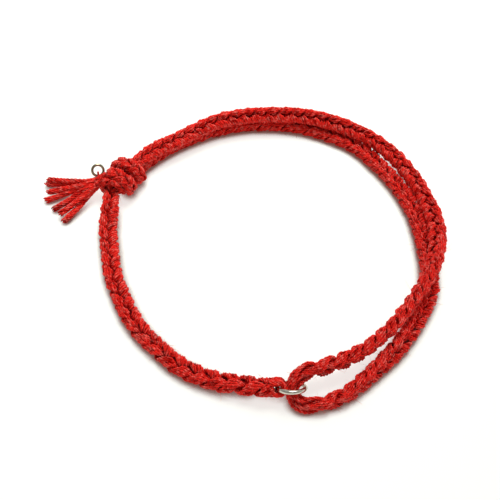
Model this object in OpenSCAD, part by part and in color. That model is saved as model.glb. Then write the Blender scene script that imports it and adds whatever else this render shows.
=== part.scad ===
// String bracelet: a three-strand braid that lies on a table as a loop.
// The braid starts on a jump ring, runs round to a knot, passes through it, comes
// back round to the jump ring as a doubled cord, goes through the ring and runs
// back to the knot, which is tied round the passing cord and ends in a tassel.
// Origin on the table under the middle of its outline, +Z up, the knot and tassel on
// the -X side and the doubled cord on the +X side.

/* [Bracelet] */
// Radius of the loop at the middle of the braid
loop_r = 32.5; // [32:0.25:33.5]

/* [Braid] */
// Width of the flat braid over its two edges
braid_w = 3.42; // [3.4:0.01:3.5]
// Width of one strand, which is a pair of threads side by side
strand_w = 1.3; // [1.1:0.01:1.3]
// Thickness of one strand
strand_t = 0.87; // [0.8:0.01:0.87]
// Travel of a strand above and below the middle of the braid
strand_rise = 0.95; // [0.93:0.01:0.98]
// Length along the braid in which a strand comes back to the same edge
period = 8.2; // [8:0.1:8.4]

/* [Rings] */
// Radius of the jump ring at the middle of its wire
ring_r = 2.35; // [2.3:0.05:2.5]
// Wire of the jump ring
ring_wire = 0.76; // [0.6:0.02:0.8]
// Slope of the jump ring, whose near side is raised by the cord under it
ring_tilt = 44; // [42:1:48]
// Radius of the charm ring at the middle of its wire
charm_r = 1.15; // [1.1:0.01:1.2]
// Wire of the charm ring
charm_wire = 0.44; // [0.36:0.02:0.46]

/* [Knot and tassel] */
// Thickness of the bundle of threads that is wound into the knot
bundle_d = 2.5; // [2.2:0.05:2.6]
// Thickness of one loose thread of the tassel
thread_d = 1.3; // [1.1:0.05:1.4]

/* [Hidden] */

red = [0.73, 0.1, 0.1];
silver = [0.82, 0.82, 0.84];

// The middle of the loop, from which all the tables below are measured. It stands
// off the origin because the tassel reaches out beyond the loop.
loop_at = [6.54, 1.04, 0.04];
module set_down() { translate(loop_at) children(); }

// Half of a strand's travel across the braid.
sway = (braid_w - strand_t) / 2;

// The braid's route from the jump ring round to the knot, on to the jump ring
// again and back to the knot. Angle is measured round the loop from +X, offset is
// out from loop_r, height is of the middle of the braid over the table, roll turns
// its flat face about its length, squeeze narrows it where it is pulled tight, and
// pace is the number of crossings against that of the doubled cord.
route = [
    // angle, offset, height, roll, squeeze, pace
    [-92.7, 0.25, 2.6, 36, 1.00, 0.85],
    [-100,    0, 2.05, 26, 1.00, 0.85],
    [-109, 0.05, 1.5, 14, 1.00, 0.85],
    [-119, -0.1, 1.25, 0, 1.00, 0.85],
    [-130, -0.75, 1.25, 0, 1.00, 0.85],
    [-141,   -1, 1.25, 0, 1.00, 0.85],
    [-152, -1.4, 1.25, 0, 1.00, 0.85],
    [-163, -1.35, 1.25, 0, 1.00, 0.85],
    [-174, -1.1, 1.25, 0, 1.00, 0.85],
    [-184, -0.2, 1.4, 0, 1.00, 0.90],
    [-192,  0.5, 2.2, 0, 1.00, 1.00],
    [-199,  1.4, 3.1, 8, 0.85, 1.00],
    [-206,  0.9, 3.8, 16, 0.70, 1.00],
    [-213,  0.6, 4, 22, 0.80, 1.00],
    [-221,  0.1, 3.9, 24, 1.00, 1.00],
    [-231, -0.75, 3.85, 22, 1.00, 1.00],
    [-241, -0.75, 4.1, 25, 1.00, 1.00],
    [-251, -0.3, 4.35, 30, 1.00, 1.00],
    [-262, -0.3, 4.45, 36, 1.00, 1.00],
    [-274, -0.05, 4.4, 40, 1.00, 1.00],
    [-286,  0.6, 4.25, 40, 1.00, 1.00],
    [-298,  1.1, 3.85, 34, 1.00, 1.00],
    [-310,  1.7, 3.3, 22, 1.00, 1.00],
    [-322, 1.75, 2.75, 8, 1.00, 1.00],
    [-334, 1.15, 2.5, 2, 1.00, 1.00],
    [-346,  0.6, 2.6, 6, 1.00, 1.00],
    [-357,  0.3, 3.2, 22, 1.00, 1.00],
    [-369, -0.5, 4.36, 46, 1.00, 1.00],
    [-381, -1.3, 4.75, 64, 1.00, 1.00],
    [-394, -2.15, 4.6, 74, 1.00, 1.00],
    [-408, -2.05, 4.2, 79, 1.00, 1.00],
    [-421, -1.7, 3.9, 82, 1.00, 1.00],
    [-432, -1.65, 3.85, 87, 1.00, 0.80],
    [-440, -1.3, 4.1, 90, 0.95, 0.40],
    [-443.8, 0.05, 3.55, 90, 0.88, 0.20],
    [-444.6,  1.3, 2.1, 90, 0.85, 0.20],
    [-442.7,  3.1, 1.5, 90, 0.88, 0.20],
    [-438, 3.65, 1.5, 90, 0.92, 0.50],
    [-430,  3.3, 1.7, 92, 1.00, 0.90],
    [-420, 1.75, 1.7, 70, 1.00, 1.00],
    [-408,  0.6, 1.5, 45, 1.00, 1.00],
    [-396, -0.1, 1.4, 28, 1.00, 1.00],
    [-384, -0.2, 1.3, 18, 1.00, 1.00],
    [-372, -1.4, 1.25, 10, 1.00, 1.00],
    [-360, -2.1, 1.25, 0, 1.00, 1.00],
    [-347, -2.15, 1.25, 0, 1.00, 1.00],
    [-334, -2.05, 1.25, 0, 1.00, 1.00],
    [-321, -1.7, 1.25, 0, 1.00, 1.00],
    [-308, -0.65, 1.25, 0, 1.00, 1.00],
    [-295, -0.2, 1.25, 0, 1.00, 1.00],
    [-282,  0.3, 1.25, 0, 1.00, 1.00],
    [-269, 0.45, 1.25, 0, 1.00, 1.00],
    [-257,  0.6, 1.25, 0, 1.00, 1.00],
    [-246,  0.6, 1.25, 0, 1.00, 1.00],
    [-234,  0.8, 1.25, 0, 1.00, 1.00],
    [-223,    1, 1.25, 0, 0.95, 1.00],
    [-214,  1.2, 1.25, 0, 0.85, 1.00]
];

// One row of the route as position, roll, squeeze and pace.
function placed(row) = [(loop_r + row[1]) * cos(row[0]), (loop_r + row[1]) * sin(row[0]),
                        row[2], row[3], row[4], row[5]];
stops = [for (row = route) placed(row)];

// A smooth curve through a list of rows, read at u rows from its start.
function row_of(rows, i) = rows[max(0, min(len(rows) - 1, i))];
function smooth(p0, p1, p2, p3, t) =
    0.5 * (2 * p1 + (p2 - p0) * t + (2 * p0 - 5 * p1 + 4 * p2 - p3) * t * t
           + (3 * p1 - p0 - 3 * p2 + p3) * t * t * t);
function on_curve(rows, u) =
    let (i = min(floor(u), len(rows) - 2))
    smooth(row_of(rows, i - 1), row_of(rows, i), row_of(rows, i + 1), row_of(rows, i + 2), u - i);
function first3(v) = [v[0], v[1], v[2]];
function unit(v) = v / norm(v);
eps = 0.01;
function heading(rows, u) =
    let (a = max(0, u - eps), b = min(len(rows) - 1, u + eps))
    unit(first3(on_curve(rows, b)) - first3(on_curve(rows, a)));

// How far the crossings have come at each point of the route, in degrees.
fine = 1 / 8;
last_u = len(stops) - 1;
fine_u = [for (u = [0:fine:last_u]) u];
function gain(u) =
    let (a = on_curve(stops, u - fine), b = on_curve(stops, u))
    norm(first3(b) - first3(a)) * (a[5] + b[5]) / 2 * 360 / period;
fine_phase = [for (i = 0, p = 0; i < len(fine_u);
                   i = i + 1, p = i < len(fine_u) ? p + gain(fine_u[i]) : p) p];
u_of_phase = [for (i = [0:len(fine_u) - 1]) [fine_phase[i], fine_u[i]]];
whole_phase = fine_phase[len(fine_u) - 1];

// The sections of a strand stand where strands cross and where they turn at the
// braid's edges. Where the pace is slow, more of them stand between.
step = 60;
function parts_of(p) = on_curve(stops, lookup(p + step / 2, u_of_phase))[5] < 0.6 ? 4 : 1;
section_phase = concat([0], [for (p = [step / 2:step:whole_phase - step])
                             for (j = [0:parts_of(p) - 1]) p + step * j / parts_of(p)]);

// Directions of the braid at u: along, across its flat face, and out of that face.
function braid_axes(u) =
    let (along = heading(stops, u),
         side = unit(cross([0, 0, 1], along)),
         up = cross(along, side),
         roll = on_curve(stops, u)[3])
    [along, side * cos(roll) + up * sin(roll), up * cos(roll) - side * sin(roll)];

// One section of a strand: the strand sways across the braid once while it goes
// up and down through it twice, and the three strands are a third of a turn apart.
// Its pair of threads lies flat on the faces of the braid and on edge at the sides.
strand_sides = 6;
lean_swing = 110;
function strand_section(phase, turn) =
    let (u = lookup(phase, u_of_phase),
         row = on_curve(stops, u),
         axes = braid_axes(u),
         a = phase + turn,
         middle = first3(row) + row[4] * (sway * sin(a) * axes[1] + strand_rise * sin(2 * a) * axes[2]),
         rate = row[5] * row[4] * 2 * PI / period,
         along = unit(axes[0] + rate * (sway * cos(a) * axes[1]
                                        + 2 * strand_rise * cos(2 * a) * axes[2])),
         wide = unit(cross(axes[2], along)))
    oval(middle, wide, cross(along, wide), pow(row[4], 1.5) * strand_w / 2,
         pow(row[4], 1.5) * strand_t / 2, lean_swing * cos(a) - 90, strand_sides);

// A closed oval outline about a point, turned by lean, and a solid skinned over
// such outlines.
function oval(middle, wide, thick, a, b, lean, sides) =
    let (long = wide * cos(lean) + thick * sin(lean), short = thick * cos(lean) - wide * sin(lean))
    [for (i = [0:sides - 1])
        let (t = 360 * (i + 0.5) / sides - lean)
        middle + a * cos(t) * long + b * sin(t) * short];
module skin(sections) {
    n = len(sections[0]);
    m = len(sections);
    points = [for (s = sections) for (p = s) p];
    walls = [for (i = [0:m - 2]) for (j = [0:n - 1])
             let (k = (j + 1) % n)
             for (f = [[i * n + j, (i + 1) * n + k, i * n + k],
                       [i * n + j, (i + 1) * n + j, (i + 1) * n + k]]) f];
    start = [for (j = [0:n - 1]) j];
    end = [for (j = [0:n - 1]) m * n - 1 - j];
    polyhedron(points, concat([start], walls, [end]), convexity = 10);
}

// A round tube along a smooth curve through rows of position and thickness.
function level(w, h) = unit(w - (w * h) * h);
module tube(rows, sides, steps) {
    us = [for (u = [0:1 / steps:len(rows) - 1]) u];
    hs = [for (u = us) heading(rows, u)];
    first_wide = level(abs(hs[0][2]) < 0.8 ? [0, 0, 1] : [1, 0, 0], hs[0]);
    wides = [for (i = 0, w = first_wide; i < len(us);
                  i = i + 1, w = i < len(us) ? level(w, hs[i]) : w) w];
    skin([for (i = [0:len(us) - 1])
          let (row = on_curve(rows, us[i]))
          oval(first3(row), wides[i], cross(hs[i], wides[i]), row[3] / 2, row[3] / 2, 0, sides)]);
}

// The jump ring, sloped about +X, and the three loops of thread that hold its
// left side, from which the braid starts.
ring_at = [3.0, -0.35 - loop_r, 2.75];
loop_d = 0.98;
loop_gap = 0.14;
function ring_place(across, down, out) =
    ring_at + [across, -down * cos(ring_tilt) + out * sin(ring_tilt),
               down * sin(ring_tilt) + out * cos(ring_tilt)];
module torus(radius, wire) {
    rotate_extrude($fn = 48) translate([radius, 0]) circle(d = wire, $fn = 24);
}
module jump_ring() {
    color(silver) set_down() translate(ring_at) rotate([-ring_tilt, 0, 0]) torus(ring_r, ring_wire);
}
module start_loops() {
    hold = ring_wire / 2 + loop_gap + loop_d / 2;
    leg = 1.4;
    leg_out = 0.85 * hold;
    apart = 0.85 * loop_d;
    color(red) set_down()
    for (down = [-apart, 0, apart]) {
        rim = -sqrt(ring_r * ring_r - down * down);
        bend = [for (a = [90:-30:-90]) [rim + hold * cos(a), hold * sin(a)]];
        flat = concat([[-ring_r - leg, leg_out]], bend, [[-ring_r - leg, -leg_out]]);
        tube([for (p = flat) let (q = ring_place(p[0], down, p[1])) [q[0], q[1], q[2], loop_d]],
             6, 1);
    }
}

// The knot: the end of the braid wound twice round the cord that passes through.
// Its rows are measured from the middle of the knot.
knot_u = 12;
knot_row = on_curve(stops, knot_u);
knot_along = unit([heading(stops, knot_u)[0], heading(stops, knot_u)[1], 0]);
knot_inward = cross(knot_along, [0, 0, 1]);
winding = [
    // along the cord, inward, up
    [ 4.3, -0.4, -2.5],
    [ 3.0,  0.6, -2.5],
    [ 1.9,  2.4, -1.6],
    [ 1.65, 2.8,  0.1],
    [ 1.4,  1.7,  1.9],
    [ 1.0, -0.3,  2.4],
    [ 0.6, -2.0,  1.6],
    [ 0.25, -2.6, -0.2],
    [-0.1, -1.7, -1.9],
    [-0.45, 0.2, -2.4],
    [-1.2,  2.3, -1.9],
    [-1.8,  2.9, -0.1],
    [-2.2,  1.8,  1.8],
    [-2.5, -0.4,  2.5],
    [-2.65, -2.15, 1.0],
    [-3.3, -2.7,  0.4]
];
function knot_place(p) = first3(knot_row) + p[0] * knot_along + p[1] * knot_inward + [0, 0, p[2]];
module knot() {
    color(red) set_down()
    tube([for (p = winding) let (q = knot_place(p)) [q[0], q[1], q[2], bundle_d]], 8, 2);
}

// The tassel: a head that leaves the knot and fans out into loose threads, which
// are thin where they leave the head. Its places are those on a loop of the usual
// radius, and on another loop they move out or in with the knot.
usual_r = 32.5;
knot_angle = route[knot_u][0];
drift = (loop_r - usual_r) * [cos(knot_angle), sin(knot_angle), 0];
seat_gap = 0.25;
winding_end = len(winding) - 1;
head_way = heading([for (p = winding) knot_place(p)], winding_end);
head_start = knot_place(winding[winding_end]) + seat_gap * head_way;
head = [head_start, head_start + 1.3 * head_way, [-36.6, 12.8, 3.0] + drift];
head_d = [2.6, 3.1, 2.2];
root_d = 1.1;
threads = [
    // four points from the head to the free end of each thread
    [[-35.1, 13.8, 3.6], [-38.0, 13.6, 3.0], [-42.3, 14.4, 2.2], [-47.0, 15.4, 1.5]],
    [[-35.4, 13.7, 3.0], [-38.6, 13.6, 2.2], [-42.8, 14.3, 1.3], [-47.3, 15.0, 0.7]],
    [[-35.4, 13.5, 3.5], [-38.3, 12.7, 2.9], [-42.2, 12.5, 1.9], [-46.3, 12.0, 1.2]],
    [[-35.5, 13.7, 2.9], [-38.9, 12.7, 2.0], [-42.7, 11.6, 1.1], [-46.6, 10.1, 0.7]],
    [[-35.4, 13.1, 3.3], [-38.6, 11.3, 2.4], [-41.4,  9.6, 1.4], [-44.5,  7.5, 0.8]],
    [[-35.3, 12.4, 3.4], [-37.6, 10.3, 2.7], [-40.1,  8.1, 1.9], [-42.8,  5.8, 1.3]],
    [[-35.2, 12.4, 2.8], [-37.1, 10.5, 2.0], [-39.2,  7.8, 1.2], [-41.8,  4.3, 0.7]]
];
// The thin thread that holds the charm ring. It leaves the head, passes through
// the ring and goes back into the head behind the ring's wire.
hanger = [
    // across the ring, towards its far side, out of its face
    [-0.2,  -1.2,   1.2],
    [-0.1,  -0.45,  0.75],
    [-0.1,  -0.45,  0.0],
    [-0.15, -0.9,  -0.6],
    [-0.3,  -1.7,  -0.45],
    [-0.35, -2.1,   0.4]
];
hanger_d = 0.5;
module tassel() {
    color(red) set_down() {
        tube([for (i = [0:2]) concat(head[i], head_d[i])], 8, 2);
        for (t = threads)
            tube([for (i = [0:3]) concat(t[i] + drift, i == 0 ? root_d : thread_d)], 6, 3);
        at_charm() tube([for (p = hanger) concat(p, hanger_d)], 6, 3);
    }
}

// The small charm ring on the hanger.
charm_at = [-35.7, 15.9, 3.8] + drift;
charm_turn = [50, 0, 20];
module at_charm() { translate(charm_at) rotate(charm_turn) children(); }
module charm_ring() {
    color(silver) set_down() at_charm() torus(charm_r, charm_wire);
}

module strand(turn) {
    color(red) set_down() skin([for (p = section_phase) strand_section(p, turn)]);
}
module strand_a() { strand(0); }
module strand_b() { strand(120); }
module strand_c() { strand(240); }

strand_a();
strand_b();
strand_c();
start_loops();
jump_ring();
knot();
tassel();
charm_ring();
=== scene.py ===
import math

import bpy
import numpy as np
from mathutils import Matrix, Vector


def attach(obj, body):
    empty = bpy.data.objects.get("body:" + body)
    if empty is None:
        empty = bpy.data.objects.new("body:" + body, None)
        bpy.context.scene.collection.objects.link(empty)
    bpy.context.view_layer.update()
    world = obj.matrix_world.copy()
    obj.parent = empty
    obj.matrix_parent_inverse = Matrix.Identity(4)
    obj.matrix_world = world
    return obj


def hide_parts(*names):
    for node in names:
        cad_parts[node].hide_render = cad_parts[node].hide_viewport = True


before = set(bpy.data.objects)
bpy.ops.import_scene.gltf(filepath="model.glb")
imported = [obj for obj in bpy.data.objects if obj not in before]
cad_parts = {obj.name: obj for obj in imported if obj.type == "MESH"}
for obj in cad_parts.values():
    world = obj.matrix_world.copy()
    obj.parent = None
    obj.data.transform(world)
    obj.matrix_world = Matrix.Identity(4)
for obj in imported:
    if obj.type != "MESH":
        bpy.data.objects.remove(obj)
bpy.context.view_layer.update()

MM = 0.001
UP = np.array([0.0, 0.0, 1.0])

# The loop, the crossings of its braid and the turn of a strand, from the CAD source.
LOOP_R = 32.5
LOOP_AT = np.array([6.54, 1.04, 0.04])
PERIOD = 8.2
LEAN_SWING = 110

# Travel of a strand across the braid and through it.
SWAY = 1.22
RISE = 0.76

# A strand is a row of threads side by side, each of plies twisted together: place across
# the strand and radius of each thread, and a ply's radius against its thread's.
ROW = ((-0.54, 0.42), (0.0, 0.52), (0.54, 0.42))
PLIES = 4
PITCH = 3.0
PLY_SHARE = 0.47
PLY_SIDES = 4
STEP = 0.3

# A squeezed braid's threads thin by this power of its squeeze.
THINNING = 0.7

# The stouter threads where the braid is drawn up at the jump ring.
RING_THREAD = {"pitch": 4.4, "plies": 6, "ply_r": 0.19}

# How strands and threads stray from a plain course: the length in which a stray comes and
# goes, and its standard deviation, which is degrees for phase and lean, radians for the
# twist's angle, millimetres for its pace, and a share for the others.
PHASE_STRAY = (6, 5)
SWAY_STRAY = (5, 0.03)
LEAN_STRAY = (3, 6)
GAUGE_STRAY = (2.5, 0.03)
PACE_STRAY = (5, 0.1)
ANGLE_STRAY = (2, 0.08)
REACH_STRAY = (2, 0.04)
WIDTH_STRAY = (1.2, 0.05)

# Loose ends: the length over which the plies part, the most by which a ply ends short, and
# the lengths over which a ply and the core of the thread narrow to their tips.
PART_OVER = 2.2
SHORT_BY = 0.8
PLY_TIP = 0.5
CORE_TIP = 0.7

# Loose fibres on each strand: how many, their lengths, their radii from root to tip, and
# the points that a tube has more of where they stand on it.
FIBRES = 700
FIBRE_LENGTHS = (0.6, 1.9)
FIBRE_RADII = np.array([0.022, 0.02, 0.018, 0.014, 0.008])
LONG_TUBE = 600

# Lowest place of a fibre's middle and of any point over the surface.
FIBRE_LOWEST = 0.06
LOWEST = 0.02

# Half the width and height of the braid over its strands, the share of them within which a
# point is at full depth, and the share over which the depth fades from there.
HALF_WIDE = 1.75
HALF_HIGH = 1.3
DEEP = 0.2
FADE = 0.6

# The core of the braid, a tube painted dark as the shade between the strands: half its width and
# height, and how far out it counts, which sets how dark it is painted.
CORE_WIDE = 0.9
CORE_HIGH = 0.65
CORE_DEPTH = 0.25

# Rows of the route are read this finely, and a course has a point every so many degrees of
# phase, as if its pace were never under SLOWEST.
FINE = 40
PHASE_STEP = 8
SLOWEST = 0.7

BRAID_SEED, FILL_SEED, KNOT_SEED, SPREAD_SEED, TASSEL_SEED, LOOPS_SEED = 11, 17, 31, 37, 47, 59

# The braid's route: angle round the loop from +X, offset out from LOOP_R, height of the
# braid's middle, roll of its flat face, squeeze where it is pulled tight, and pace of the
# crossings.
ROUTE = [
    [-92.7, 0.25, 2.6, 36, 1.1, 0.85],
    [-100, 0, 2.05, 26, 1.1, 0.85],
    [-109, 0.05, 1.5, 14, 1, 0.85],
    [-119, -0.1, 1.25, 0, 1, 0.85],
    [-130, -0.75, 1.25, 0, 1, 0.85],
    [-141, -1, 1.25, 0, 1.02, 0.85],
    [-152, -1.4, 1.25, 0, 1.04, 0.85],
    [-163, -1.35, 1.25, 0, 1.06, 0.85],
    [-174, -1.1, 1.25, 0, 1.08, 0.85],
    [-184, -0.2, 1.4, 0, 1.08, 0.9],
    [-192, 0.5, 2.2, 0, 1.06, 1],
    [-199, 1.4, 3.1, 8, 0.85, 1],
    [-206, 0.9, 3.8, 16, 0.7, 1],
    [-213, 0.6, 4, 22, 0.8, 1],
    [-221, 0.1, 3.9, 24, 1, 1],
    [-231, -0.75, 3.85, 22, 1, 1],
    [-241, -0.75, 4.1, 25, 1, 1],
    [-251, -0.3, 4.35, 30, 1, 1],
    [-262, -0.3, 4.45, 36, 1, 1],
    [-274, -0.05, 4.4, 40, 1, 1],
    [-286, 0.6, 4.25, 40, 1, 1],
    [-298, 1.1, 3.85, 34, 1, 1],
    [-310, 1.7, 3.3, 22, 1, 1],
    [-322, 1.75, 2.75, 8, 1, 1],
    [-334, 1.15, 2.5, 2, 1, 1],
    [-346, 0.6, 2.6, 6, 1, 1],
    [-357, 0.3, 3.2, 22, 1, 1],
    [-369, -0.5, 4.36, 46, 1, 1],
    [-381, -1.3, 4.75, 64, 1, 1],
    [-394, -2.15, 4.6, 74, 1, 1],
    [-408, -2.05, 4.2, 79, 1, 1],
    [-421, -1.7, 3.9, 82, 1, 1],
    [-432, -1.65, 3.85, 87, 1, 0.8],
    [-440, -1.3, 4.1, 90, 0.95, 0.4],
    [-443.8, 0.05, 3.55, 90, 0.88, 0.2],
    [-444.6, 1.3, 2.1, 90, 0.85, 0.2],
    [-442.7, 3.1, 1.5, 90, 0.88, 0.2],
    [-438, 3.65, 1.5, 90, 0.92, 0.5],
    [-430, 3.3, 1.7, 92, 1, 0.9],
    [-420, 1.75, 1.7, 70, 1, 1],
    [-408, 0.6, 1.5, 45, 1, 1],
    [-396, -0.1, 1.4, 28, 1, 1],
    [-384, -0.2, 1.3, 18, 1, 1],
    [-372, -1.4, 1.25, 10, 1, 1],
    [-360, -2.1, 1.25, 0, 1, 1],
    [-347, -2.15, 1.25, 0, 1, 1],
    [-334, -2.05, 1.25, 0, 1, 1],
    [-321, -1.5, 1.25, 0, 1, 1],
    [-308, -0.42, 1.25, 0, 1, 1],
    [-295, -0.1, 1.25, 0, 1, 1],
    [-282, 0.3, 1.25, 0, 1, 1],
    [-269, 0.45, 1.25, 0, 1, 1],
    [-257, 0.6, 1.25, 0, 1, 1],
    [-246, 0.6, 1.25, 0, 1, 1],
    [-234, 0.8, 1.25, 0, 1, 1],
    [-223, 1, 1.25, 0, 0.95, 1],
    [-214, 1.2, 1.25, 0, 0.85, 1],
]

# Columns of a placed row after its three of place.
ROLL, SQUEEZE, PACE = 3, 4, 5


def unit(v):
    return v / np.linalg.norm(v, axis=-1, keepdims=True)


def curve(rows, u):
    """Rows of a smooth curve through the given rows, read at u rows from its start."""
    rows = np.asarray(rows, float)
    i = np.clip(np.floor(u).astype(int), 0, len(rows) - 2)
    t = (u - i)[:, None]
    p0, p1, p2, p3 = (rows[np.clip(i + k, 0, len(rows) - 1)] for k in (-1, 0, 1, 2))
    square = 2 * p0 - 5 * p1 + 4 * p2 - p3
    cube = 3 * p1 - p0 - 3 * p2 + p3
    return 0.5 * (2 * p1 + (p2 - p0) * t + square * t**2 + cube * t**3)


def headings(points):
    return unit(np.gradient(points, axis=0))


def lengths(points):
    """Length along a line up to each of its points."""
    steps = np.linalg.norm(np.diff(points, axis=0), axis=1)
    return np.concatenate([[0.0], np.cumsum(steps)])


def resampled(s, old, rows):
    """Rows that are known at the lengths old, read at the lengths s."""
    return np.stack([np.interp(s, old, column) for column in rows.T], 1)


def wander(rng, s, scale, size):
    """A smooth random run over the lengths s: knots every scale mm, standard deviation size."""
    count = max(4, int((s[-1] - s[0]) / scale) + 4)
    values = rng.normal(0, size, count)
    u = (s - s[0]) / max(s[-1] - s[0], 1e-6) * (count - 1)
    return curve(values[:, None], np.clip(u, 0, count - 1.0001))[:, 0]


def transported(tangents):
    """A direction square to each tangent that turns as little as it can from one to the next."""
    last = UP if abs(tangents[0][2]) < 0.8 else np.array([1.0, 0, 0])
    sides = np.empty_like(tangents)
    for i, t in enumerate(tangents):
        last = last - (last @ t) * t
        last = last / np.linalg.norm(last)
        sides[i] = last
    return sides


class Inside:
    """How far out of the braid each point of a ply stands: 0 between the strands, 1 on the
    braid's outside. The material paints shade between the strands from it."""
    def __init__(self, middle, across, normal):
        self.middle, self.across, self.normal = middle, across, normal

    def __call__(self, points):
        n = len(points)
        off = points - self.middle[:n, None, :]
        x = np.sum(off * self.across[:n, None, :], 2) / HALF_WIDE
        z = np.sum(off * self.normal[:n, None, :], 2) / HALF_HIGH
        return np.clip((np.hypot(x, z) - DEEP) / FADE, 0, 1)


class Bundle:
    """Tubes that are gathered for one mesh, with what the material reads: a shade for each
    tube, the depth of each point, and as UV the length along a tube and the turn about it."""
    def __init__(self):
        self.points = []
        self.faces = []
        self.coords = []
        self.shades = []
        self.depths = []
        self.count = 0

    def tube(self, centre, radius, side, up, sides, shade, s0=0.0, inside=None, closed=False):
        """Adds a tube about centre, with side and up square to it and its length counted from
        s0. It has a face at each end, or runs on into its start where it is closed."""
        n = len(centre)
        spans = n if closed else n - 1
        angle = np.arange(sides) * 2 * math.pi / sides
        ring = side[:, None, :] * np.cos(angle)[None, :, None]
        ring = ring + up[:, None, :] * np.sin(angle)[None, :, None]
        points = centre[:, None, :] + np.broadcast_to(radius, n)[:, None, None] * ring
        self.points.append(points.reshape(-1, 3))
        depth = np.ones((n, sides)) if inside is None else inside(points)
        self.depths.append(depth.ravel())

        i = np.arange(spans)[:, None]
        after = (i + 1) % n
        j = np.arange(sides)[None, :]
        k = (j + 1) % sides
        corners = (i * sides + j, i * sides + k, after * sides + k, after * sides + j)
        self.faces += (np.stack(corners, -1).reshape(-1, 4) + self.count).tolist()

        s = lengths(np.concatenate([centre, centre[:1]]))[: spans + 1] + s0
        grid = (spans, sides)
        u0, u1 = (np.broadcast_to(run[:, None], grid) for run in (s[:-1], s[1:]))
        v0, v1 = (np.broadcast_to(turn / sides, grid) for turn in (j, j + 1))
        corners = ((u0, v0), (u0, v1), (u1, v1), (u1, v0))
        self.coords.append(np.stack([np.stack(c, -1) for c in corners], 2).reshape(-1, 2))
        self.shades += [shade] * (spans * sides * 4)

        if not closed:
            first, last = self.count, self.count + (n - 1) * sides
            self.faces.append([first + q for q in reversed(range(sides))])
            self.faces.append([last + q for q in range(sides)])
            # The end faces take the painted highlight of a ply near its crest.
            self.coords += [np.tile([[end, 0.1]], (sides, 1)) for end in (s[0], s[-1])]
            self.shades += [shade] * (2 * sides)
        self.count += n * sides

    def thread(self, rng, path, radius, pitch=PITCH, plies=PLIES, ply_r=0.2, frayed=0.0,
               step=STEP, braid=None):
        """Adds plies twisted round a path. Where frayed is above 0 they part over the last
        two millimetres, and end at different lengths. A thread in a braid is given the
        braid's middle and axes at each point of its path."""
        old = lengths(path)
        s = np.linspace(0, old[-1], max(4, int(old[-1] / step)))
        path = resampled(s, old, path)
        inside = None
        if braid is not None:
            inside = Inside(*(resampled(s, old, rows) for rows in braid))
        gauge = np.interp(s, old, np.broadcast_to(radius, len(old)))
        gauge = gauge * (1 + wander(rng, s, *GAUGE_STRAY))
        t = headings(path)
        u = transported(t)
        v = np.cross(t, u)
        first_angle = rng.uniform(0, 2 * math.pi)
        pace = s + wander(rng, s, *PACE_STRAY)
        parted = np.clip((s - s[-1] + PART_OVER) / PART_OVER, 0, 1) ** 2
        for ply in range(plies):
            start = rng.uniform(0, 100)
            shade = rng.uniform(0, 1)
            angle = 2 * math.pi * (pace / pitch + ply / plies) + first_angle
            angle = angle + wander(rng, s, *ANGLE_STRAY)
            out = u * np.cos(angle)[:, None] + v * np.sin(angle)[:, None]
            reach = (gauge - ply_r) * (1 + wander(rng, s, *REACH_STRAY))
            reach = reach + 0.5 * frayed * rng.uniform(0.1, 1) * parted
            centre = path + out * reach[:, None]
            ply_t = headings(centre)
            side = unit(out - np.sum(out * ply_t, 1, keepdims=True) * ply_t)
            up = np.cross(ply_t, side)
            width = ply_r * (1 + wander(rng, s, *WIDTH_STRAY))
            stop = len(path)
            if frayed:
                stop -= int(rng.uniform(0, SHORT_BY) / step)
                width = width * np.sqrt(np.clip((s[stop - 1] + 0.08 - s) / PLY_TIP, 0.1, 1))
            self.tube(centre[:stop], width[:stop], side[:stop], up[:stop], PLY_SIDES, shade,
                      start, inside)
        if frayed:
            core = (gauge - 1.4 * ply_r) * np.sqrt(np.clip((s[-1] - s) / CORE_TIP, 0.04, 1))
            self.tube(path, core, u, v, PLY_SIDES, 0.6)

    def fuzz(self, rng):
        """Adds loose fibres that stand off the longer tubes made so far."""
        tubes = [p.reshape(-1, PLY_SIDES, 3) for p in self.points
                 if len(p) % PLY_SIDES == 0 and len(p) > LONG_TUBE]
        share = np.array([len(p) for p in tubes], float)
        for pick in rng.choice(len(tubes), FIBRES, p=share / share.sum()):
            rings = tubes[pick]
            i = rng.integers(2, len(rings) - 2)
            root = rings[i, rng.integers(PLY_SIDES)]
            out = unit(root - rings[i].mean(0))
            along = unit(rings[i + 1].mean(0) - rings[i - 1].mean(0)) * rng.choice([-1, 1])
            way = unit(0.8 * along + rng.uniform(0.2, 0.9) * out + rng.normal(0, 0.3, 3))
            size = rng.uniform(*FIBRE_LENGTHS)
            bend = rng.normal(0, 0.35, 3) * size
            t = np.linspace(0, 1, len(FIBRE_RADII))[:, None]
            path = root + way * size * t + bend * t**2
            path[:, 2] = np.maximum(path[:, 2], FIBRE_LOWEST)
            tangents = headings(path)
            side = transported(tangents)
            self.tube(path, FIBRE_RADII, side, np.cross(tangents, side), 3, 1.0,
                      rng.uniform(0, 100))

    def core(self, course):
        """Adds a core painted dark, which shows between the strands as painted shade instead of
        what lies behind.
        """
        pick = slice(0, None, 3)
        self.tube(course.middle[pick], course.squeeze[pick], course.across[pick] * CORE_WIDE,
                  course.normal[pick] * CORE_HIGH, 8, 0.0,
                  inside=lambda points: np.full(points.shape[:2], CORE_DEPTH))

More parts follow.
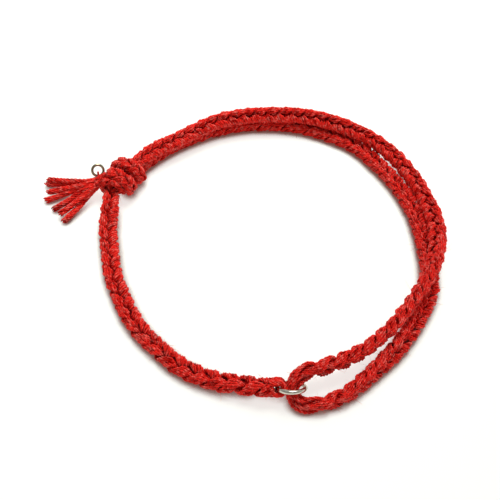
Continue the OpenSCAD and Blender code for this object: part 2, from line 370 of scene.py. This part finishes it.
    def piece(self, name, material, slot, *nodes):
        """Makes the gathered tubes one piece, which stands for CAD nodes."""
        mesh = bpy.data.meshes.new(name)
        points = np.concatenate(self.points)
        points[:, 2] = np.maximum(points[:, 2], LOWEST)
        mesh.from_pydata((points * MM).tolist(), [], self.faces)
        layer = mesh.uv_layers.new(name="along")
        layer.data.foreach_set("uv", np.concatenate(self.coords).astype(np.float32).ravel())
        shade = mesh.attributes.new("shade", "FLOAT", "CORNER")
        shade.data.foreach_set("value", np.array(self.shades, np.float32))
        depth = mesh.attributes.new("depth", "FLOAT", "POINT")
        depth.data.foreach_set("value", np.concatenate(self.depths).astype(np.float32))
        mesh.polygons.foreach_set("use_smooth", [True] * len(mesh.polygons))
        mesh.materials.append(material)
        mesh.update()
        obj = bpy.data.objects.new(name, mesh)
        bpy.context.scene.collection.objects.link(obj)
        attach(obj, "root")
        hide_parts(*nodes)


class Course:
    """The braid's middle line, its axes and the phase of its strands, at even steps of phase
    from placed rows. The phase is 0 at the row after the lead."""
    def __init__(self, rows, axes, lead=0):
        u = np.linspace(0, len(rows) - 1, (len(rows) - 1) * FINE + 1)
        at = curve(rows, u)
        pace = at[:, PACE]
        gain = np.linalg.norm(np.diff(at[:, :3], axis=0), axis=1)
        gain = gain * (pace[1:] + pace[:-1]) / 2 * 360 / PERIOD
        phase = np.concatenate([[0.0], np.cumsum(gain)])
        phase -= phase[FINE * lead]
        steps = np.diff(lengths(at[:, :3])) * 360 / PERIOD * np.maximum(pace[1:], SLOWEST)
        steps = np.concatenate([[0.0], np.cumsum(steps)])
        self.u = np.interp(np.arange(0, steps[-1], PHASE_STEP), steps, u)
        rows_at = curve(rows, self.u)
        self.middle = rows_at[:, :3]
        self.squeeze = rows_at[:, SQUEEZE]
        self.phase = np.interp(self.u, u, phase)
        self.along = headings(self.middle)
        self.across, self.normal = axes(self, rows_at[:, ROLL])

    def strand(self, rng, number):
        """The middle line of one strand and the direction of its wide side."""
        s = lengths(self.middle)
        a = np.radians(self.phase + 120 * number + wander(rng, s, *PHASE_STRAY))
        sway = SWAY * (1 + wander(rng, s, *SWAY_STRAY))
        rise = RISE * (1 + wander(rng, s, *SWAY_STRAY))
        off = (sway * np.sin(a))[:, None] * self.across
        off = off + (rise * np.sin(2 * a))[:, None] * self.normal
        middle = self.middle + self.squeeze[:, None] * off
        t = headings(middle)
        wide = unit(np.cross(self.normal, t))
        thick = np.cross(t, wide)
        lean = np.radians(LEAN_SWING * np.cos(a) - 90 + wander(rng, s, *LEAN_STRAY))
        return middle, wide * np.cos(lean)[:, None] + thick * np.sin(lean)[:, None]

    def threads(self, bundles, first_seed):
        """Adds the threads of each of the three strands to its bundle."""
        squeeze = self.squeeze[:, None]
        braid = (self.middle, self.across / squeeze, self.normal / squeeze)
        gauge = self.squeeze ** THINNING
        for number, bundle in enumerate(bundles):
            rng = np.random.default_rng(first_seed + number)
            middle, wide = self.strand(rng, number)
            for side, size in ROW:
                bundle.thread(rng, middle + side * gauge[:, None] * wide, size * gauge,
                              ply_r=size * PLY_SHARE, braid=braid)


def flat_axes(course, roll):
    """Axes of a braid that lies on a surface and is rolled about its length."""
    side = unit(np.cross(UP, course.along))
    up = np.cross(course.along, side)
    r = np.radians(roll)[:, None]
    return side * np.cos(r) + up * np.sin(r), up * np.cos(r) - side * np.sin(r)


def placed(rows):
    """Rows of the route, with their places in the frame instead of angle, offset and height."""
    out = np.array(rows, float)
    angle = np.radians(out[:, 0])
    radius = LOOP_R + out[:, 1]
    middle = np.stack([radius * np.cos(angle), radius * np.sin(angle), out[:, 2]], 1) + LOOP_AT
    return np.concatenate([middle, out[:, 3:]], 1)


def fill(tree, made, **values):
    """Gives a node its settings and inputs, an input under its name with _ for a space. Where
    the value is another node's output, it is linked."""
    for key, value in values.items():
        if hasattr(made, key):
            setattr(made, key, value)
        else:
            plug(tree, value, made.inputs[key.replace("_", " ")])
    return made


def plug(tree, value, socket):
    if isinstance(value, bpy.types.NodeSocket):
        tree.links.new(value, socket)
    else:
        socket.default_value = value


def node(tree, kind, **values):
    return fill(tree, tree.nodes.new(kind), **values)


def maths(tree, operation, *terms, **values):
    """The result of a maths node on numbers and other nodes' outputs."""
    made = node(tree, "ShaderNodeMath", operation=operation, **values)
    for term, socket in zip(terms, made.inputs):
        plug(tree, term, socket)
    return made.outputs["Value"]


def noise(tree, place, scale, detail, **values):
    made = node(tree, "ShaderNodeTexNoise", Vector=place, Scale=scale, Detail=detail, **values)
    return made.outputs["Fac"]


def map_range(tree, value, **values):
    return node(tree, "ShaderNodeMapRange", Value=value, **values).outputs["Result"]


def ramp(tree, value, *stops):
    """The colour for a value on a ramp of positions and colours."""
    made = node(tree, "ShaderNodeValToRGB", Fac=value)
    elements = made.color_ramp.elements
    for element, (position, colour) in zip(elements, (stops[0], stops[-1])):
        element.position = position
        element.color = (*colour, 1)
    for position, colour in stops[1:-1]:
        elements.new(position).color = (*colour, 1)
    return made.outputs["Color"]


def mixed(tree, how, factor, a, b):
    made = node(tree, "ShaderNodeMix", data_type="RGBA", blend_type=how, Factor=factor, A=a, B=b)
    return made.outputs["Result"]


def new_material(name):
    material = bpy.data.materials.new(name)
    material.use_nodes = True
    return material, material.node_tree, material.node_tree.nodes["Principled BSDF"]


def cotton():
    material, tree, shader = new_material("red_cotton_thread")
    place = node(tree, "ShaderNodeNewGeometry").outputs["Position"]
    uv = node(tree, "ShaderNodeUVMap", uv_map="along").outputs["UV"]
    # Fibres run along a ply and turn slowly about it.
    stretch = node(tree, "ShaderNodeMapping", Vector=uv, Rotation=(0, 0, 0.12),
                   Scale=(1.6, 9.0, 1.0))
    fibre = noise(tree, stretch.outputs["Vector"], 1.0, 3.0, Roughness=0.6)
    # Each ply has its own tone, and so have larger patches.
    shade = node(tree, "ShaderNodeAttribute", attribute_name="shade").outputs["Fac"]
    tone = maths(tree, "MULTIPLY_ADD", shade, 0.55, fibre)
    tone = maths(tree, "MULTIPLY_ADD", noise(tree, place, 260.0, 2.0), 0.1, tone)
    # Painted highlight and shade: the crest of a ply, which faces out of its thread, is painted
    # paler than its sides, which are painted darker.
    turn = node(tree, "ShaderNodeSeparateXYZ", Vector=uv).outputs["Y"]
    crest_highlight = maths(tree, "COSINE", maths(tree, "MULTIPLY", turn, 2 * math.pi))
    tone = maths(tree, "MULTIPLY_ADD", crest_highlight, 0.26, tone)
    colour = ramp(tree, tone, (0.5, (0.12, 0.0002, 0.0001)), (0.8, (0.4, 0.0022, 0.0011)),
                  (1.0, (0.84, 0.026, 0.018)))
    # Painted shade: between the strands, and under them near the floor, where little light comes
    # in, the colour is darkened towards a deep red.
    out = node(tree, "ShaderNodeAttribute", attribute_name="depth").outputs["Fac"]
    height = node(tree, "ShaderNodeSeparateXYZ", Vector=place).outputs["Z"]
    lit = map_range(tree, height, From_Min=0.0001, From_Max=0.0016, To_Min=0.3)
    depth = maths(tree, "MULTIPLY", out, lit)
    crease_shade = ramp(tree, depth, (0.0, (0.5, 0.05, 0.05)), (1.0, (1, 1, 1)))
    colour = mixed(tree, "MULTIPLY", 1.0, colour, crease_shade)
    # Painted highlight: here and there a fibre on a ply's crest is painted pale pink, as a
    # glint, and less so where the braid is painted in shade.
    fine_noise = noise(tree, place, 1300.0, 2.0)
    some = map_range(tree, fine_noise, From_Min=0.5, From_Max=0.68, To_Max=0.85)
    outer = maths(tree, "MULTIPLY", crest_highlight, some, use_clamp=True)
    painted_glint = maths(tree, "MULTIPLY", outer, depth)
    colour = mixed(tree, "MIX", painted_glint, colour, (0.98, 0.2, 0.16, 1))
    bump = node(tree, "ShaderNodeBump", Strength=0.5, Distance=0.00006, Height=fibre)
    fill(tree, shader, Base_Color=colour, Normal=bump.outputs["Normal"], Roughness=0.4,
         Specular_IOR_Level=0.1, Specular_Tint=(1.0, 0.15, 0.12, 1))
    return material


def silver(name, edge, flat):
    """Worn silver wire between two tones."""
    material, tree, shader = new_material(name)
    place = node(tree, "ShaderNodeNewGeometry").outputs["Position"]
    fine_noise = noise(tree, place, 1500.0, 3.0)
    rough = map_range(tree, fine_noise, To_Min=0.08, To_Max=0.24)
    tint = ramp(tree, fine_noise, (0.0, edge), (1.0, flat))
    bump = node(tree, "ShaderNodeBump", Strength=0.15, Distance=0.00002, Height=fine_noise)
    fill(tree, shader, Base_Color=tint, Normal=bump.outputs["Normal"], Roughness=rough,
         Metallic=1.0)
    return material


def floor_paint():
    """A floor that glows pale, with a painted shadow, dark and brown, close to the cord."""
    material, tree, shader = new_material("floor")
    # Painted shadow: ambient occlusion near the cord turns the floor's glow dark brown.
    contact_shadow = node(tree, "ShaderNodeAmbientOcclusion", samples=8, Distance=0.002).outputs["AO"]
    glow = ramp(tree, contact_shadow, (0.5, (0.14, 0.04, 0.03)), (0.85, (1, 0.99, 0.965)))
    fill(tree, shader, Base_Color=(0.38, 0.41, 0.37, 1), Emission_Color=glow,
         Emission_Strength=0.71, Roughness=0.7, Specular_IOR_Level=0.1)
    return material


COTTON = cotton()
SILVER = silver("silver_wire", (0.42, 0.39, 0.3), (0.84, 0.81, 0.7))
DULL_SILVER = silver("dull_silver_wire", (0.14, 0.12, 0.05), (0.62, 0.58, 0.42))

# The braid's three strands. The lead row goes before the route, so that the strands reach
# into the loops at the jump ring.
STRANDS = ("strand_a", "strand_b", "strand_c")
LEAD = [[-90.4, 0.3, 2.9, 44, 1.0, 0.85]]
route = placed(ROUTE)
course = Course(np.concatenate([placed(LEAD), route]), flat_axes, lead=1)
strands = [Bundle() for name in STRANDS]
course.threads(strands, BRAID_SEED)
strands[0].core(course)

# Where the braid turns through the ring its strands lie apart, and threads fill the gaps:
# the rows between which they run, and the place of each across and through the braid.
FILLED = (32, 40)
FILL = ((-0.55, -0.25), (0.55, -0.25), (0.0, 0.35))
filled = (course.u > FILLED[0]) & (course.u < FILLED[1])
middle, across, normal = course.middle[filled], course.across[filled], course.normal[filled]
rng = np.random.default_rng(FILL_SEED)
for bundle, (side, rise) in zip(strands, FILL):
    bundle.thread(rng, middle + side * across + rise * normal, 0.5, **RING_THREAD)
for bundle, name in zip(strands, STRANDS):
    bundle.fuzz(rng)
    bundle.piece("braid_" + name, COTTON, "red_cotton", name)

# The knot: the end of the braid wound round the cord, its flat face outward. Its rows are
# along the cord, inward and up from the knot's middle, which is at this row of the route.
KNOT_ROW = 12
KNOT_MIDDLE = route[KNOT_ROW, :3]
KNOT_ALONG = np.array([0.523, 0.852, 0.0])
KNOT_INWARD = np.array([0.852, -0.523, 0.0])
WINDING = [
    [4.3, -0.4, -2.5],
    [3, 0.6, -2.5],
    [1.9, 2.4, -1.6],
    [1.65, 2.8, 0.1],
    [1.4, 1.7, 1.9],
    [1, -0.3, 2.4],
    [0.6, -2, 1.6],
    [0.25, -2.6, -0.2],
    [-0.1, -1.7, -1.9],
    [-0.45, 0.2, -2.4],
    [-1.2, 2.3, -1.9],
    [-1.8, 2.9, -0.1],
    [-2.2, 1.8, 1.8],
    [-2.5, -0.4, 2.5],
    [-2.65, -2.15, 1],
    [-3.3, -2.7, 0.4],
]

# The last turn's threads spread over the cord that leaves the knot.
SPREAD = [
    [-3.0, 2.2, -1.0],
    [-3.3, 1.5, 1.1],
    [-3.7, -0.3, 1.7],
    [-4.0, -1.8, 0.8],
    [-4.2, -2.1, -0.6],
    [-4.2, -1.2, -1.9],
]


def knot_place(rows):
    rows = np.asarray(rows, float)
    out = KNOT_MIDDLE + rows[:, :1] * KNOT_ALONG
    return out + rows[:, 1:2] * KNOT_INWARD + rows[:, 2:3] * UP


def wound_axes(course, roll):
    """Axes of a braid that is wound round the cord and isn't rolled."""
    out = course.middle - KNOT_MIDDLE
    out = out - (out @ KNOT_ALONG)[:, None] * KNOT_ALONG
    normal = unit(out - np.sum(out * course.along, 1, keepdims=True) * course.along)
    return np.cross(normal, course.along), normal


def wound(rows, squeeze, pace):
    """A course through rows at the knot."""
    places = knot_place(rows)
    extra = np.tile([0.0, squeeze, pace], (len(places), 1))
    return Course(np.concatenate([places, extra], 1), wound_axes)


bundle = Bundle()
wound(WINDING, squeeze=0.78, pace=1.25).threads([bundle] * 3, KNOT_SEED)
wound(SPREAD, squeeze=0.62, pace=1.3).threads([bundle] * 3, SPREAD_SEED)
bundle.piece("knot_braid", COTTON, "red_cotton", "knot")

# The tassel: the threads run out of the knot's end side by side and then fan out. Each has
# four places from the head to its free end.
THREADS = [
    [[-35.1, 13.8, 3.6], [-38, 13.6, 3], [-42.3, 14.4, 2.2], [-47, 15.4, 1.5]],
    [[-35.4, 13.7, 3], [-38.6, 13.6, 2.2], [-42.8, 14.3, 1.3], [-47.3, 15, 0.7]],
    [[-35.4, 13.5, 3.5], [-38.3, 12.7, 2.9], [-42.2, 12.5, 1.9], [-46.3, 12, 1.2]],
    [[-35.5, 13.7, 2.9], [-38.9, 12.7, 2], [-42.7, 11.6, 1.1], [-46.6, 10.1, 0.7]],
    [[-35.4, 13.1, 3.3], [-38.6, 11.3, 2.4], [-41.4, 9.6, 1.4], [-44.5, 7.5, 0.8]],
    [[-35.3, 12.4, 3.4], [-37.6, 10.3, 2.7], [-40.1, 8.1, 1.9], [-42.8, 5.8, 1.3]],
    [[-35.2, 12.4, 2.8], [-37.1, 10.5, 2], [-39.2, 7.8, 1.2], [-41.8, 4.3, 0.7]],
]

# In the head the threads stand round the middle one, and are a little thinner: how far off
# and how long the head is, and the threads' radius at shares of their length.
HEAD_R = 0.85
HEAD_LONG = 1.5
HEAD_MIDDLE = 3
GROWN_AT = (0, 0.3, 0.55, 1)
GROWN = (0.46, 0.48, 0.6, 0.64)
winding = knot_place(WINDING)
way = headings(winding)[-1]
flank = unit(np.cross(UP, way))
over = np.cross(way, flank)
rng = np.random.default_rng(TASSEL_SEED)
bundle = Bundle()
for number, points in enumerate(THREADS):
    a = 2 * math.pi * number / len(THREADS)
    reach = 0.0 if number == HEAD_MIDDLE else HEAD_R
    spot = reach * (flank * math.cos(a) + over * math.sin(a))
    rows = [winding[-1] + spot, winding[-1] + HEAD_LONG * way + spot]
    rows += [np.array(p) + LOOP_AT for p in points]
    path = curve(rows, np.linspace(0, len(rows) - 1, 80))
    share = lengths(path) / lengths(path)[-1]
    bundle.thread(rng, path, np.interp(share, GROWN_AT, GROWN), pitch=6.0, plies=7,
                  frayed=0.25, step=0.2)

# The hanger, a thin thread through the charm ring, and the ring itself, a little stouter
# than its solid. Both are in the ring's own frame.
HANGER = [
    [-0.2, -1.2, 1.2],
    [-0.1, -0.45, 0.75],
    [-0.1, -0.45, 0.0],
    [-0.15, -0.9, -0.6],
    [-0.3, -1.7, -0.45],
    [-0.35, -2.1, 0.4],
]
CHARM_AT = np.array([-35.7, 15.9, 3.8]) + LOOP_AT
CHARM_R = 1.15
CHARM_WIRE_R = 0.28
CHARM_STEPS = 48
tip, spin = math.radians(50), math.radians(20)
tipped = np.array([[1, 0, 0], [0, math.cos(tip), -math.sin(tip)],
                   [0, math.sin(tip), math.cos(tip)]])
spun = np.array([[math.cos(spin), -math.sin(spin), 0], [math.sin(spin), math.cos(spin), 0],
                 [0, 0, 1]])
charm_axes = spun @ tipped
rows = np.array(HANGER) @ charm_axes.T + CHARM_AT
path = curve(rows, np.linspace(0, len(rows) - 1, 60))
bundle.thread(rng, path, 0.24, pitch=1.2, plies=2, ply_r=0.12, step=0.1)
bundle.piece("tassel_threads", COTTON, "red_cotton", "tassel")

a = np.arange(CHARM_STEPS) * 2 * math.pi / CHARM_STEPS
radial = np.stack([np.cos(a), np.sin(a), 0 * a], 1) @ charm_axes.T
face = np.broadcast_to(charm_axes @ UP, radial.shape)
bundle = Bundle()
bundle.tube(CHARM_AT + CHARM_R * radial, CHARM_WIRE_R, radial, face, 16, 0.5, closed=True)
bundle.piece("charm_wire", DULL_SILVER, "silver_wire", "charm_ring")

# The loops that hold the jump ring's left side: each bends round the ring's wire at its own
# height on the ring, and runs back beside itself.
RING_AT = np.array([3.0, -0.35 - LOOP_R, 2.75]) + LOOP_AT
RING_R = 2.35
RING_TILT = math.radians(44)
HOLD = 0.99
RUN_BACK = 1.4
LOOPS = (-0.85, 0.0, 0.85)
rng = np.random.default_rng(LOOPS_SEED)
bundle = Bundle()
for down in LOOPS:
    rim = -math.sqrt(RING_R**2 - down**2)
    bend = [(rim + HOLD * math.cos(a), HOLD * math.sin(a))
            for a in np.radians(np.arange(90, -91, -30))]
    back = -RING_R - RUN_BACK
    flat = [(back, HOLD * 0.85)] + bend + [(back, -HOLD * 0.85)]
    rows = [RING_AT + [x, -down * math.cos(RING_TILT) + out * math.sin(RING_TILT),
                       down * math.sin(RING_TILT) + out * math.cos(RING_TILT)]
            for x, out in flat]
    path = curve(rows, np.linspace(0, len(rows) - 1, 80))
    bundle.thread(rng, path, 0.52, **RING_THREAD)
bundle.piece("ring_loops", COTTON, "red_cotton", "start_loops")

# The jump ring keeps its CAD solid.
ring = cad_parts["jump_ring"]
ring.data.materials.clear()
ring.data.materials.append(SILVER)

# The floor, in metres as are the light and the camera's clipping.
bpy.ops.mesh.primitive_plane_add(size=40.0, location=(0, 0, 0))
floor = bpy.context.object
floor.name = "floor"
floor.data.materials.append(floor_paint())


def area(name, place, aim, size, power, spread):
    """A round light that shines from place to aim."""
    data = bpy.data.lights.new(name, "AREA")
    data.shape = "DISK"
    data.size = size
    data.energy = power
    data.spread = math.radians(spread)
    light = bpy.data.objects.new(name, data)
    light.location = place
    way = Vector(aim) - Vector(place)
    light.rotation_euler = way.to_track_quat("-Z", "Y").to_euler()
    bpy.context.scene.collection.objects.link(light)


area("key", (0.02, 0.21, 0.35), (-0.05, 0.11, 0), size=0.34, power=0.315, spread=52)

# The room is bright overhead and behind, dark towards the viewer, and pale all round low
# down.
scene = bpy.context.scene
world = bpy.data.worlds.new("studio")
world.use_nodes = True
tree = world.node_tree
way = node(tree, "ShaderNodeTexCoord").outputs["Generated"]
toward = node(tree, "ShaderNodeVectorMath", operation="DOT_PRODUCT")
plug(tree, way, toward.inputs[0])
plug(tree, (0.25, 0.6, 0.76), toward.inputs[1])
glow = map_range(tree, toward.outputs["Value"], From_Min=-0.1, To_Min=0.25, To_Max=0.5)
height = node(tree, "ShaderNodeSeparateXYZ", Vector=way).outputs["Z"]
band = map_range(tree, height, From_Min=0.42, From_Max=0.0, To_Max=0.7)
fill(tree, tree.nodes["Background"], Color=(1, 1, 1, 1), Strength=maths(tree, "ADD", glow, band))
scene.world = world
scene.view_settings.view_transform = "Standard"

# The camera: its place, in millimetres, and its tilt and lens. The photo's horizon is this
# many of its pixels above its middle.
CAMERA_AT = LOOP_AT + np.array([-3.9, -82.7, 107])
PHOTO_WIDTH = 500
HORIZON_UP = 900
PITCH_DOWN = 53
SENSOR = 36
focal_px = HORIZON_UP / math.tan(math.radians(PITCH_DOWN))
camera_data = bpy.data.cameras.new("camera")
camera_data.sensor_width = SENSOR
camera_data.lens = focal_px / PHOTO_WIDTH * SENSOR
camera_data.clip_start = 0.005
camera_data.clip_end = 20
camera = bpy.data.objects.new("camera", camera_data)
camera.location = CAMERA_AT * MM
camera.rotation_euler = (math.radians(90 - PITCH_DOWN), 0, 0)
scene.collection.objects.link(camera)
scene.camera = camera
